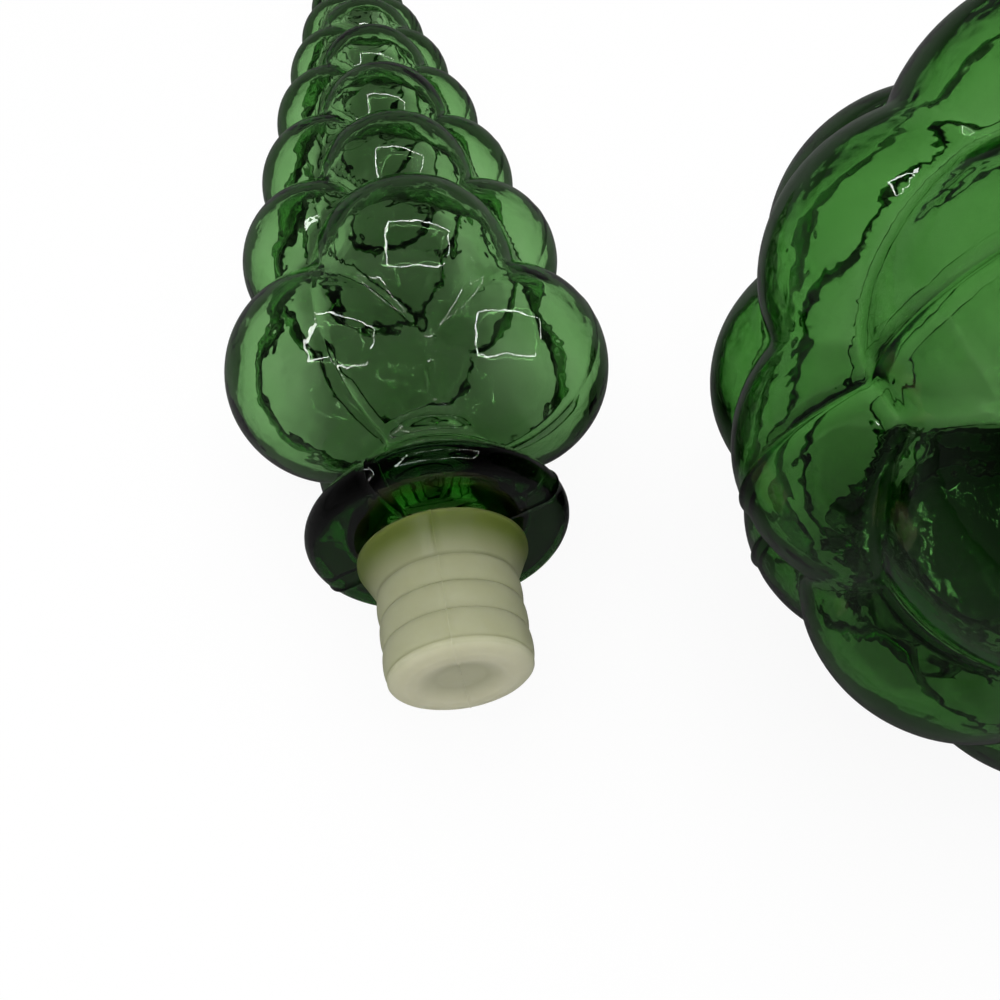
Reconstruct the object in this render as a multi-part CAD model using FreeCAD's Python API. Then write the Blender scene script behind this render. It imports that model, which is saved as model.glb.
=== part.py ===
import FreeCAD, Part
import math
import os

# A tall glass genie bottle whose ball is blown as a cluster of bubbles, with its long bubbled stopper lying
# beside it and a plastic bung on the stopper's peg. Millimetres and degrees, +Z up, and the origin is the
# centre of the bottle's foot, on the table.

# Glass
WALL = 3.2                    # blown wall, everywhere in the bottle
STOPPER_WALL = 2.6

# Ball of the bottle
BALL_RADIUS = 72.5            # out to the crowns of the bubbles
BALL_HEIGHT = 87.3            # centre of the ball above the table
BALL_CORE_RADIUS = 60.0       # round ball behind the bubbles
BALL_BUBBLE_RADIUS = 26.5
BALL_BUBBLE_SHARE = 0.62      # most radius that a bubble takes of the gap to the next one in its ring
BUBBLES_PER_BALL_RING = 6
BALL_RING_COUNT = 7
BALL_RING_STEP = 20.5         # latitude from one ring to the next
BALL_MIDDLE_RING = 3.0        # latitude of the ring at the widest place
BALL_TURN = -164.5            # direction of one bubble of the middle ring, on the mould seam

# Neck and mouth of the bottle
BOTTLE_HEIGHT = 262.0
MOUTH_CLEARANCE = 0.3         # round the bung, when the stopper is in
NECK_ROOT_RADIUS = 27.0
NECK_ROOT_RISE = 61.3         # from the ball's centre to where the neck starts to narrow
NECK_DRAW_LENGTH = 40.0       # the neck narrows over this length, and is straight above it
NECK_DRAW = ((0.28, 0.45), (0.68, 0.1))  # share of that length, and share of the narrowing still to come
LIP_RADIUS = 26.8
LIP_THICKNESS = 8.0

# Foot of the bottle
FOOT_RADIUS = 33.0
FOOT_WAIST_RADIUS = 28.0
FOOT_WAIST_HEIGHT = 18.0
FOOT_EDGE_RADIUS = 3.0
FOOT_FLOOR = 7.0              # glass under the cavity, at its thinnest
FOOT_INNER_ROUND = 6.4        # between the cavity's floor and its wall
PUNT_RADIUS = 24.0            # shallow hollow under the foot
PUNT_HEIGHT = 3.0

# Stopper, measured along its own axis from the underside of the bung's flange towards the tip
BUBBLES_PER_STOPPER_RING = 3
STOPPER_RING_COUNT = 17
FIRST_RING_AT = 42.0
FIRST_RING_STEP = 18.0
RING_STEP_RATIO = 0.952       # each gap between rings is this much of the one before
STOPPER_BUBBLE_SHARE = 1.2    # a bubble's radius, as a share of the gap to the next ring
FIRST_BUBBLE_RADIUS = 23.0
FIRST_RING_REACH = 43.5       # from the axis out to the bubbles' crowns
SECOND_RING_REACH = 42.3
REACH_TAPER = 0.17            # how much the reach loses for each millimetre along the axis
TIP_TAPER_FROM = 150.0        # the last third narrows faster
TIP_TAPER = 0.03
STOPPER_CORE_SHARE = 0.8      # radius of the round core behind the bubbles, as a share of their reach
STOPPER_NECK_RADIUS = 17.2
STOPPER_SHOULDER_LENGTH = 17.0  # the neck widens to the core over this length, which ends above the first ring
STOPPER_SHOULDER_END = 8.0      # how far above it
STOPPER_SHOULDER_BEND = (0.35, 0.78)  # share of that length, and share of the core's radius, half way up
FLANGE_RADIUS = 26.8
FLANGE_THICKNESS = 7.6
FLANGE_AT = 7.2               # middle of the glass flange
FLANGE_FILLET = 2.0           # between the flange and the neck
COLLAR_RADIUS = 13.6          # glass between the flange and the bung
COLLAR_SPREAD = 2.0           # how much wider the collar is at the flange
PEG_RADIUS = 9.0
PEG_LENGTH = 20.0
BORE_WIDENS_OVER = 12.0       # the bore of the peg widens to the neck's over this length
BORE_BEND = 5.0               # half the widening is reached after this much of it

# Bung, a moulded plastic sleeve closed at its lower end
BUNG_FLANGE_RADIUS = 17.0
BUNG_FLANGE_THICKNESS = 0.8
BUNG_SKIRT_LENGTH = 7.0       # the flange narrows over this length to the ribs
BUNG_RADIUS = 14.1            # over the ribs
BUNG_LENGTH = 26.4            # from the flange's underside to the closed end
BUNG_CAP_LENGTH = 2.3         # from the last rib to the closed end
BUNG_RIB_COUNT = 3
BUNG_GROOVE_DEPTH = 0.6
BUNG_END_ROUND = 3.6          # from the ribs in to the flat of the closed end
BUNG_CAP_BULGE = 0.4          # how far inside the ribs the cap is widest
BUNG_RECESS_RADIUS = 8.4
BUNG_RECESS_DEPTH = 1.2
BUNG_CLEARANCE = 0.1          # round the peg and under its end

# Where the stopper lies
STOPPER_X = -120.6            # centre of the bung's flange on the table plan
STOPPER_Y = -17.5
STOPPER_HEADING = 99.6        # direction from the bung to the tip, from +X towards +Y
STOPPER_ROLL = 8.0            # one column of bubbles is this far from the very top
BALANCE_AT = 95.0             # where the stopper balances along its axis
STEEPEST_TILT = 45.0          # the search for its slope starts below this
TILT_PRECISION = 1e-9


def point(radius, height):
    return FreeCAD.Vector(radius, 0, height)


def line(start, end):
    return Part.LineSegment(start, end).toShape()


def arc(start, through, end):
    return Part.Arc(start, through, end).toShape()


def curve(*points):
    """A smooth curve through a few points."""
    spline = Part.BSplineCurve()
    spline.interpolate(list(points))
    return spline.toShape()


def turned(edges):
    """The solid that a closed outline sweeps round the Z axis."""
    face = Part.Face(Part.Wire(edges))
    return face.revolve(FreeCAD.Vector(0, 0, 0), FreeCAD.Vector(0, 0, 1), 360)


def joined(solids):
    whole = solids[0].multiFuse(solids[1:])
    return whole.removeSplitter()


def on_ring(centre_radius, azimuth, height):
    angle = math.radians(azimuth)
    return FreeCAD.Vector(centre_radius * math.cos(angle), centre_radius * math.sin(angle), height)


def rings_and_bubbles(rings, per_ring, turn, shrink):
    """Bubbles of each ring, every second ring turned by half a place. shrink makes them an inner wall."""
    bubbles = []
    place = 360 / per_ring
    for number, (height, centre_radius, radius) in rings:
        for index in range(per_ring):
            azimuth = turn + place * (index + number % 2 / 2)
            centre = on_ring(centre_radius, azimuth, height)
            bubbles.append(Part.makeSphere(radius - shrink, centre))
    return bubbles


# Bottle

def ball_rings():
    """Number, then height, distance from the axis and radius, for each ring of bubbles on the ball."""
    rings = []
    half = BALL_RING_COUNT // 2
    for number in range(-half, BALL_RING_COUNT - half):
        latitude = math.radians(BALL_MIDDLE_RING + number * BALL_RING_STEP)
        gap = 2 * BALL_RADIUS * math.cos(latitude) * math.sin(math.pi / BUBBLES_PER_BALL_RING)
        radius = min(BALL_BUBBLE_RADIUS, BALL_BUBBLE_SHARE * gap)
        distance = BALL_RADIUS - radius
        height = BALL_HEIGHT + distance * math.sin(latitude)
        rings.append((number, (height, distance * math.cos(latitude), radius)))
    return rings


def ball(shrink):
    core = Part.makeSphere(BALL_CORE_RADIUS - shrink, FreeCAD.Vector(0, 0, BALL_HEIGHT))
    bubbles = rings_and_bubbles(ball_rings(), BUBBLES_PER_BALL_RING, BALL_TURN, shrink)
    return [core] + bubbles


def mouth_radius():
    return BUNG_RADIUS + MOUTH_CLEARANCE


def neck_root_height():
    return BALL_HEIGHT + NECK_ROOT_RISE


def neck_curve(shrink):
    """Side of the neck, from its root in the ball up to where it runs straight."""
    top = mouth_radius() + WALL - shrink
    root = NECK_ROOT_RADIUS - shrink
    height = neck_root_height()
    between = [point(top + (root - top) * wide, height + NECK_DRAW_LENGTH * up) for up, wide in NECK_DRAW]
    return curve(point(root, height), *between, point(top, height + NECK_DRAW_LENGTH))


def neck_outside():
    radius = mouth_radius() + WALL
    half = LIP_THICKNESS / 2
    middle = BOTTLE_HEIGHT - half
    rim = LIP_RADIUS - half
    root = neck_root_height()
    return turned([
        line(point(0, BALL_HEIGHT), point(NECK_ROOT_RADIUS, BALL_HEIGHT)),
        line(point(NECK_ROOT_RADIUS, BALL_HEIGHT), point(NECK_ROOT_RADIUS, root)),
        neck_curve(0),
        line(point(radius, root + NECK_DRAW_LENGTH), point(radius, middle - half)),
        line(point(radius, middle - half), point(rim, middle - half)),
        arc(point(rim, middle - half), point(LIP_RADIUS, middle), point(rim, middle + half)),
        line(point(rim, middle + half), point(0, middle + half)),
        line(point(0, middle + half), point(0, BALL_HEIGHT)),
    ])


def neck_inside():
    wide = NECK_ROOT_RADIUS - WALL
    radius = mouth_radius()
    root = neck_root_height()
    above = BOTTLE_HEIGHT + WALL
    return turned([
        line(point(0, BALL_HEIGHT), point(wide, BALL_HEIGHT)),
        line(point(wide, BALL_HEIGHT), point(wide, root)),
        neck_curve(WALL),
        line(point(radius, root + NECK_DRAW_LENGTH), point(radius, above)),
        line(point(radius, above), point(0, above)),
        line(point(0, above), point(0, BALL_HEIGHT)),
    ])


def foot_outside():
    edge = FOOT_EDGE_RADIUS
    slant = edge * math.sqrt(0.5)
    waist = point(FOOT_WAIST_RADIUS, FOOT_WAIST_HEIGHT)
    side = curve(point(FOOT_RADIUS, edge), point((FOOT_RADIUS + FOOT_WAIST_RADIUS) / 2, FOOT_WAIST_HEIGHT / 2), waist)
    corner = point(FOOT_RADIUS - edge + slant, edge - slant)
    return turned([
        line(point(0, 0), point(FOOT_RADIUS - edge, 0)),
        arc(point(FOOT_RADIUS - edge, 0), corner, point(FOOT_RADIUS, edge)),
        side,
        line(waist, point(FOOT_WAIST_RADIUS, BALL_HEIGHT)),
        line(point(FOOT_WAIST_RADIUS, BALL_HEIGHT), point(0, BALL_HEIGHT)),
        line(point(0, BALL_HEIGHT), point(0, 0)),
    ])


def foot_inside():
    radius = FOOT_WAIST_RADIUS - WALL
    floor = PUNT_HEIGHT + FOOT_FLOOR
    edge = FOOT_INNER_ROUND
    slant = edge * math.sqrt(0.5)
    corner = point(radius - edge + slant, floor + edge - slant)
    return turned([
        line(point(0, floor), point(radius - edge, floor)),
        arc(point(radius - edge, floor), corner, point(radius, floor + edge)),
        line(point(radius, floor + edge), point(radius, BALL_HEIGHT)),
        line(point(radius, BALL_HEIGHT), point(0, BALL_HEIGHT)),
        line(point(0, BALL_HEIGHT), point(0, floor)),
    ])


def punt():
    """A shallow dome cut from under the foot."""
    middle = PUNT_RADIUS / 2
    radius = (PUNT_RADIUS ** 2 + PUNT_HEIGHT ** 2) / (2 * PUNT_HEIGHT)
    half_way = PUNT_HEIGHT - radius + math.sqrt(radius ** 2 - middle ** 2)
    return turned([
        line(point(0, 0), point(PUNT_RADIUS, 0)),
        arc(point(PUNT_RADIUS, 0), point(middle, half_way), point(0, PUNT_HEIGHT)),
        line(point(0, PUNT_HEIGHT), point(0, 0)),
    ])


def glass_bottle():
    outside = joined(ball(0) + [neck_outside(), foot_outside()])
    inside = joined(ball(WALL) + [neck_inside(), foot_inside()])
    return outside.cut(inside).cut(punt())


# Stopper, standing on its bung with its tip up

def ring_reach(at):
    if at < FIRST_RING_AT + FIRST_RING_STEP / 2:
        return FIRST_RING_REACH
    beyond_second = at - FIRST_RING_AT - FIRST_RING_STEP
    beyond_taper = max(0, at - TIP_TAPER_FROM)
    return SECOND_RING_REACH - REACH_TAPER * beyond_second - TIP_TAPER * beyond_taper


def stopper_rings():
    """Number, then place along the axis, distance from it and radius, for each ring of bubbles."""
    rings = []
    at = FIRST_RING_AT
    step = FIRST_RING_STEP
    for number in range(STOPPER_RING_COUNT):
        radius = STOPPER_BUBBLE_SHARE * step if number else FIRST_BUBBLE_RADIUS
        rings.append((number, (at, ring_reach(at) - radius, radius)))
        at += step
        step *= RING_STEP_RATIO
    return rings


def stopper_core(shrink):
    """The round cone behind the bubbles, from the shoulder over the neck to the rounded tip."""
    rings = [ring for number, ring in stopper_rings()]
    shoulder_end = FIRST_RING_AT + STOPPER_SHOULDER_END
    shoulder = shoulder_end - STOPPER_SHOULDER_LENGTH
    last = rings[-1][0]
    wide = ring_reach(rings[1][0]) * STOPPER_CORE_SHARE - shrink
    narrow = ring_reach(last) * STOPPER_CORE_SHARE - shrink
    neck = STOPPER_NECK_RADIUS - shrink
    bend_at, bend_share = STOPPER_SHOULDER_BEND
    bend = point(wide * bend_share, shoulder + STOPPER_SHOULDER_LENGTH * bend_at)
    return turned([
        line(point(0, shoulder), point(neck, shoulder)),
        curve(point(neck, shoulder), bend, point(wide, shoulder_end)),
        line(point(wide, shoulder_end), point(narrow, last)),
        line(point(narrow, last), point(0, last)),
        line(point(0, last), point(0, shoulder)),
    ])


def stopper_cluster(shrink):
    bubbles = rings_and_bubbles(stopper_rings(), BUBBLES_PER_STOPPER_RING, 0, shrink)
    return [stopper_core(shrink)] + bubbles


def stopper_stem():
    """Neck, flange, collar and peg, all turned."""
    half = FLANGE_THICKNESS / 2
    rim = FLANGE_RADIUS - half
    low = BUNG_FLANGE_THICKNESS
    top = FLANGE_AT + half
    peg_end = BUNG_FLANGE_THICKNESS - PEG_LENGTH
    collar = COLLAR_RADIUS + COLLAR_SPREAD
    neck = STOPPER_NECK_RADIUS
    return turned([
        line(point(0, peg_end), point(PEG_RADIUS, peg_end)),
        line(point(PEG_RADIUS, peg_end), point(PEG_RADIUS, low)),
        line(point(PEG_RADIUS, low), point(COLLAR_RADIUS, low)),
        line(point(COLLAR_RADIUS, low), point(collar, FLANGE_AT - half)),
        line(point(collar, FLANGE_AT - half), point(rim, FLANGE_AT - half)),
        arc(point(rim, FLANGE_AT - half), point(FLANGE_RADIUS, FLANGE_AT), point(rim, top)),
        line(point(rim, top), point(neck + FLANGE_FILLET, top)),
        line(point(neck + FLANGE_FILLET, top), point(neck, top + FLANGE_FILLET)),
        line(point(neck, top + FLANGE_FILLET), point(neck, FIRST_RING_AT)),
        line(point(neck, FIRST_RING_AT), point(0, FIRST_RING_AT)),
        line(point(0, FIRST_RING_AT), point(0, peg_end)),
    ])


def stopper_bore():
    """Hollow of the neck, drawn in to the open end of the peg."""
    neck = STOPPER_NECK_RADIUS - STOPPER_WALL
    peg = PEG_RADIUS - STOPPER_WALL
    below = -PEG_LENGTH
    wide_at = FLANGE_AT + BORE_WIDENS_OVER
    return turned([
        line(point(0, below), point(peg, below)),
        line(point(peg, below), point(peg, FLANGE_AT)),
        curve(point(peg, FLANGE_AT), point((peg + neck) / 2, FLANGE_AT + BORE_BEND), point(neck, wide_at)),
        line(point(neck, wide_at), point(neck, FIRST_RING_AT)),
        line(point(neck, FIRST_RING_AT), point(0, FIRST_RING_AT)),
        line(point(0, FIRST_RING_AT), point(0, below)),
    ])


def glass_stopper():
    outside = joined(stopper_cluster(0) + [stopper_stem()])
    inside = joined(stopper_cluster(STOPPER_WALL) + [stopper_bore()])
    return outside.cut(inside)


# Bung

def bung_side():
    """Ribbed side of the bung, from under its flange to the flat of its closed end."""
    groove = BUNG_RADIUS - BUNG_GROOVE_DEPTH
    rib = (BUNG_LENGTH - BUNG_SKIRT_LENGTH - BUNG_CAP_LENGTH) / BUNG_RIB_COUNT
    edges = [line(point(BUNG_FLANGE_RADIUS, 0), point(groove, -BUNG_SKIRT_LENGTH))]
    for number in range(BUNG_RIB_COUNT):
        top = -BUNG_SKIRT_LENGTH - number * rib
        edges.append(arc(point(groove, top), point(BUNG_RADIUS, top - rib / 2), point(groove, top - rib)))
    cap = -BUNG_LENGTH + BUNG_CAP_LENGTH
    crest = point(BUNG_RADIUS - BUNG_CAP_BULGE, cap - BUNG_CAP_LENGTH / 3)
    edges.append(arc(point(groove, cap), crest, point(BUNG_RADIUS - BUNG_END_ROUND, -BUNG_LENGTH)))
    return edges


def plastic_bung():
    top = BUNG_FLANGE_THICKNESS
    low = -BUNG_LENGTH
    recess_top = low + BUNG_RECESS_DEPTH
    recess = BUNG_RECESS_RADIUS
    bore = PEG_RADIUS + BUNG_CLEARANCE
    bore_end = BUNG_FLANGE_THICKNESS - PEG_LENGTH - BUNG_CLEARANCE
    flange = [
        line(point(bore, top), point(BUNG_FLANGE_RADIUS, top)),
        line(point(BUNG_FLANGE_RADIUS, top), point(BUNG_FLANGE_RADIUS, 0)),
    ]
    end = [
        line(point(BUNG_RADIUS - BUNG_END_ROUND, low), point(recess, low)),
        line(point(recess, low), point(recess - BUNG_RECESS_DEPTH, recess_top)),
        line(point(recess - BUNG_RECESS_DEPTH, recess_top), point(0, recess_top)),
    ]
    socket = [
        line(point(0, recess_top), point(0, bore_end)),
        line(point(0, bore_end), point(bore, bore_end)),
        line(point(bore, bore_end), point(bore, top)),
    ]
    return turned(flange + bung_side() + end + socket)


# Lying down

def lowest_bubble(tilt, tip_side):
    """Height of the lowest bubble on one side of the balance point, from the centre of the bung's flange."""
    slope = math.radians(tilt)
    heights = []
    for number, (at, distance, radius) in stopper_rings():
        if (at > BALANCE_AT) != tip_side:
            continue
        for index in range(BUBBLES_PER_STOPPER_RING):
            place = 360 / BUBBLES_PER_STOPPER_RING * (index + number % 2 / 2)
            below = distance * math.cos(math.radians(place + STOPPER_ROLL))
            heights.append(-at * math.sin(slope) - below * math.cos(slope) - radius)
    return min(heights)


def lying_tilt():
    """Slope of the axis down to the tip, when a bubble on each side of the balance point touches the table."""
    flat = 0.0
    steep = STEEPEST_TILT
    while steep - flat > TILT_PRECISION:
        tilt = (flat + steep) / 2
        if lowest_bubble(tilt, True) > lowest_bubble(tilt, False):
            flat = tilt
        else:
            steep = tilt
    return flat


def lie_down(shape):
    """Lays a standing piece of the stopper on the table."""
    tilt = lying_tilt()
    height = -min(lowest_bubble(tilt, True), lowest_bubble(tilt, False))
    place = FreeCAD.Placement(FreeCAD.Vector(STOPPER_X, STOPPER_Y, height), FreeCAD.Rotation())
    heading = FreeCAD.Rotation(FreeCAD.Vector(0, 0, 1), STOPPER_HEADING)
    lean = FreeCAD.Rotation(FreeCAD.Vector(0, 1, 0), 90 + tilt)
    roll = FreeCAD.Rotation(FreeCAD.Vector(0, 0, 1), STOPPER_ROLL)
    place.Rotation = heading.multiply(lean).multiply(roll)
    laid = shape.copy()
    laid.Placement = place
    return laid


def write(name, shape):
    solid = shape.Solids[0]
    print(name, "solids", len(shape.Solids), "valid", shape.isValid(), "faces", len(solid.Faces),
          "volume cm3", round(solid.Volume / 1000, 1))
    solid.exportStep("parts/" + name + ".step")


os.makedirs("parts", exist_ok=True)
write("glass_bottle", glass_bottle())
write("glass_stopper", lie_down(glass_stopper()))
write("plastic_bung", lie_down(plastic_bung()))
print("tilt", round(lying_tilt(), 2))
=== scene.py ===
# %% [markdown]
# # A green glass genie bottle with a bubbled stopper
# The real bottle is blown into a mould, so its wall is one thin skin of coloured glass round a hollow.
# Its ball and its long stopper look like bunches of bubbles. The stopper has been taken off and lies
# beside the bottle, with an ivory plastic bung on its peg. This lesson makes the skins with Geometry
# Nodes, because each one follows a rule.

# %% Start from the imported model
import math

import bpy
import numpy as np
from mathutils import Matrix, Vector


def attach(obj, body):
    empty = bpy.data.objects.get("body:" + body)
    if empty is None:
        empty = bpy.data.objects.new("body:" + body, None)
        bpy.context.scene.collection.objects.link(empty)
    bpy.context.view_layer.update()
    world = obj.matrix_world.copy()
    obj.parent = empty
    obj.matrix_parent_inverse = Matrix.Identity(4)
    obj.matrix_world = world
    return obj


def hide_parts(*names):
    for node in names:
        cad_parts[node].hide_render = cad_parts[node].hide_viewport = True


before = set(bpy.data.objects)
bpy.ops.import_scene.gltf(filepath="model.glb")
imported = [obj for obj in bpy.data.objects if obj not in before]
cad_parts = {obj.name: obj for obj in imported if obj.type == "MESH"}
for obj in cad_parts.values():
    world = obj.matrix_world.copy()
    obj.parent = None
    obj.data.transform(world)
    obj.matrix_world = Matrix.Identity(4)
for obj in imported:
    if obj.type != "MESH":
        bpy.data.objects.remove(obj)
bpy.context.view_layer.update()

MM = 0.001

# %% [markdown]
# ## A helper that adds a node
# Every node tree in this lesson is written with one small function. It makes the node, sets its options,
# and then links or sets each input. An input may be given by its name or by its number.

# %% Add a node
def add_node(tree, kind, inputs=None, **options):
    new = tree.nodes.new(kind)
    for option, value in options.items():
        setattr(new, option, value)
    for key, value in (inputs or {}).items():
        if isinstance(value, bpy.types.Node):
            value = value.outputs[0]
        if isinstance(value, bpy.types.NodeSocket):
            tree.links.new(value, new.inputs[key])
        else:
            new.inputs[key].default_value = value
    return new


# %% [markdown]
# ## Colours
# Colours are picked as sRGB hex values, as a paint program shows them. Shaders work in linear light, so
# one function turns the one into the other.

# %% Hex colour to linear
def linear(hex_colour):
    channels = []
    for start in (0, 2, 4):
        value = int(hex_colour[start:start + 2], 16) / 255
        channels.append(value / 12.92 if value <= 0.04045 else ((value + 0.055) / 1.055) ** 2.4)
    return (*channels, 1.0)


# %% [markdown]
# ## Bubbles
# A mould for such a ball has rings of round pockets, and every second ring is turned by half a place, so
# that the bubbles nest. It could be sculpted, but the rule is simple: each ring needs only a height, a
# distance from the axis and a radius. The bubbles are kept as loose points with a radius, and the skin is
# wrapped over them later.

# %% Points with a radius, ring by ring
def bubble_points(name, rings, per_ring, turn):
    """rings holds number, height, distance from the axis and radius. turn is in degrees."""
    places, radii = [], []
    for number, height, distance, radius in rings:
        for index in range(per_ring):
            angle = math.radians(turn + 360 / per_ring * (index + number % 2 / 2))
            places.append((distance * math.cos(angle), distance * math.sin(angle), height))
            radii.append(radius)
    mesh = bpy.data.meshes.new(name)
    mesh.from_pydata(places, [], [])
    mesh.attributes.new("radius", "FLOAT", "POINT").data.foreach_set("value", radii)
    points = bpy.data.objects.new(name, mesh)
    bpy.context.scene.collection.objects.link(points)
    print(name, "has", len(places), "bubbles")
    return points


# %% [markdown]
# ## A profile for each skin
# A blown piece is nearly a turned shape: start on the axis under the foot, go up the outside, over the
# lip, and down the inside. The profile is a chain of points. Each point also says from where on the axis
# its ray starts, how far the bubbles are drawn in there for the thickness of the wall, how softly they
# meet, how wavy the surface is, how high the mould seam stands, and how much painted green light and
# shade a material may put there.

# %% Profile points
class Profile:
    """A chain of profile points, and what the skin does at each."""

    def __init__(self):
        self.places = []
        self.facts = {"anchor": [], "inset": [], "crease": [], "wave": [], "seam": [], "tint": []}

    def add(self, radius, height, anchor, inset, crease, wave, seam, tint=0.0):
        self.places.append((radius, 0.0, height))
        for key, value in zip(self.facts, (anchor, inset, crease, wave, seam, tint)):
            self.facts[key].append(value)

    def build(self, name):
        mesh = bpy.data.meshes.new(name)
        mesh.from_pydata(self.places, [], [])
        for key, values in self.facts.items():
            mesh.attributes.new(key, "FLOAT", "POINT").data.foreach_set("value", values)
        piece = bpy.data.objects.new(name, mesh)
        bpy.context.scene.collection.objects.link(piece)
        print(name, "profile has", len(self.places), "points")
        return piece


def arc_points(centre, radius, start, end, count):
    """count points on an arc, from one angle in degrees to another."""
    angles = np.radians(np.linspace(start, end, count))
    return [(centre[0] + radius * math.cos(a), centre[1] + radius * math.sin(a)) for a in angles]


def spline_points(knots, count):
    """count points on a smooth curve through a few knots, evenly spread over its length."""
    curve = bpy.data.curves.new("knots", "CURVE")
    curve.dimensions = "3D"
    spline = curve.splines.new("BEZIER")
    spline.bezier_points.add(len(knots) - 1)
    for bezier, knot in zip(spline.bezier_points, knots):
        bezier.co = (knot[0], 0, knot[1])
        bezier.handle_left_type = bezier.handle_right_type = "AUTO"
    spline.resolution_u = 32
    holder = bpy.data.objects.new("knots", curve)
    mesh = bpy.data.meshes.new_from_object(holder)
    line = np.array([vertex.co for vertex in mesh.vertices])[:, [0, 2]]
    bpy.data.objects.remove(holder)
    bpy.data.meshes.remove(mesh)
    length = np.r_[0, np.cumsum(np.hypot(*np.diff(line, axis=0).T))]
    at = np.linspace(0, length[-1], count)
    return list(zip(np.interp(at, length, line[:, 0]), np.interp(at, length, line[:, 1])))


# %% [markdown]
# ## The skin
# A ray leaves the axis for every point of the skin. It ends on the turned profile or where it leaves the
# last bubble that it meets, whichever is farther. Taking the larger of the two softly rounds the creases,
# as hot glass does. The tree repeats this for each bubble. It then lays a low ridge along the mould
# seams, and adds the slow waves that make old blown glass bend what is seen through it.

# %% Inputs of the skin tree
skin_tree = bpy.data.node_groups.new("blown skin", "GeometryNodeTree")
skin_inputs = {}
for label, kind in (("Geometry", "NodeSocketGeometry"), ("Bubbles", "NodeSocketObject"),
                    ("Columns", "NodeSocketInt"), ("Seam Angle", "NodeSocketFloat"),
                    ("Seam Count", "NodeSocketInt"), ("Wave Size", "NodeSocketFloat"),
                    ("Seed", "NodeSocketFloat"), ("Material", "NodeSocketMaterial")):
    item = skin_tree.interface.new_socket(label, in_out="INPUT", socket_type=kind)
    skin_inputs[label] = item.identifier
skin_tree.interface.new_socket("Geometry", in_out="OUTPUT", socket_type="NodeSocketGeometry")
given = add_node(skin_tree, "NodeGroupInput").outputs
print("skin inputs:", ", ".join(skin_inputs))


# %% Rows and columns
def skin_math(operation, *values):
    return add_node(skin_tree, "ShaderNodeMath", dict(enumerate(values)), operation=operation)


def read_row(kind, label=None):
    """What the profile says at this vertex's row."""
    if label is None:
        value = add_node(skin_tree, "GeometryNodeInputPosition")
    else:
        value = add_node(skin_tree, "GeometryNodeInputNamedAttribute", {"Name": label}, data_type="FLOAT")
    return add_node(skin_tree, "GeometryNodeSampleIndex",
                    {"Geometry": given["Geometry"], "Value": value, "Index": row},
                    data_type=kind, domain="POINT")


row_count = add_node(skin_tree, "GeometryNodeAttributeDomainSize", {0: given["Geometry"]}, component="MESH")
across = skin_math("ADD", given["Columns"], 1)
grid = add_node(skin_tree, "GeometryNodeMeshGrid",
                {"Size X": 1, "Size Y": 1, "Vertices X": row_count.outputs["Point Count"],
                 "Vertices Y": across})
index = add_node(skin_tree, "GeometryNodeInputIndex")
row = skin_math("FLOOR", skin_math("DIVIDE", index, across))
column = skin_math("SUBTRACT", index, skin_math("MULTIPLY", row, across))

# %% [markdown]
# The parts of the mould meet at even steps round the piece, and leave a fine ridge. The mesh is too
# coarse for it, so the two columns on each side of a seam are pulled in close to it.

# %% Columns drawn in at the seams
SEAM_COLUMNS = 2  # on each side of a seam
SEAM_DRAW_IN = 0.27  # share of their distance that is left
half_turn = skin_math("DIVIDE", given["Columns"], given["Seam Count"])
from_seam = skin_math("SUBTRACT", column, skin_math("MULTIPLY", half_turn, skin_math(
    "ROUND", skin_math("DIVIDE", column, half_turn))))
steps_away = skin_math("ABSOLUTE", from_seam)
draw_in = add_node(skin_tree, "ShaderNodeMapRange",
                   {0: steps_away, 1: SEAM_COLUMNS, 2: SEAM_COLUMNS + 1, 3: SEAM_DRAW_IN, 4: 1})
moved = skin_math("SUBTRACT", skin_math("MULTIPLY", from_seam, draw_in), from_seam)
angle = skin_math("ADD", skin_math("MULTIPLY", skin_math("ADD", column, moved), skin_math(
    "DIVIDE", math.tau, given["Columns"])), given["Seam Angle"])

# %% The turned shape, and a ray to each of its points
place = add_node(skin_tree, "ShaderNodeSeparateXYZ", {0: read_row("FLOAT_VECTOR")}).outputs
turned = add_node(skin_tree, "ShaderNodeCombineXYZ",
                  {0: skin_math("MULTIPLY", place["X"], skin_math("COSINE", angle)),
                   1: skin_math("MULTIPLY", place["X"], skin_math("SINE", angle)), 2: place["Z"]})
anchor = add_node(skin_tree, "ShaderNodeCombineXYZ", {2: read_row("FLOAT", "anchor")})
outward = add_node(skin_tree, "ShaderNodeVectorMath", {0: turned, 1: anchor}, operation="SUBTRACT")
plain_reach = add_node(skin_tree, "ShaderNodeVectorMath", {0: outward}, operation="LENGTH").outputs["Value"]
ray = add_node(skin_tree, "ShaderNodeVectorMath", {0: outward}, operation="NORMALIZE")

store = grid.outputs["Mesh"]
# The painted green shade amount stays on the mesh, so that the bung's material can paint light and shade with
# it.
for label, kind, value in (("ray", "FLOAT_VECTOR", ray), ("anchor_point", "FLOAT_VECTOR", anchor),
                           ("reach", "FLOAT", plain_reach), ("steps_away", "FLOAT", steps_away),
                           ("inset", "FLOAT", read_row("FLOAT", "inset")),
                           ("crease", "FLOAT", read_row("FLOAT", "crease")),
                           ("seam", "FLOAT", read_row("FLOAT", "seam")),
                           ("tint", "FLOAT", read_row("FLOAT", "tint")),
                           ("wave", "FLOAT", read_row("FLOAT", "wave"))):
    store = add_node(skin_tree, "GeometryNodeStoreNamedAttribute",
                     {"Geometry": store, "Name": label, "Value": value}, data_type=kind, domain="POINT")


# %% [markdown]
# A Repeat zone runs once for each bubble. A ray and a sphere meet where a quadratic equation says, and
# the far answer is where the ray leaves the bubble. A ray that misses the bubble gets a zero, which
# changes nothing.

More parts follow.
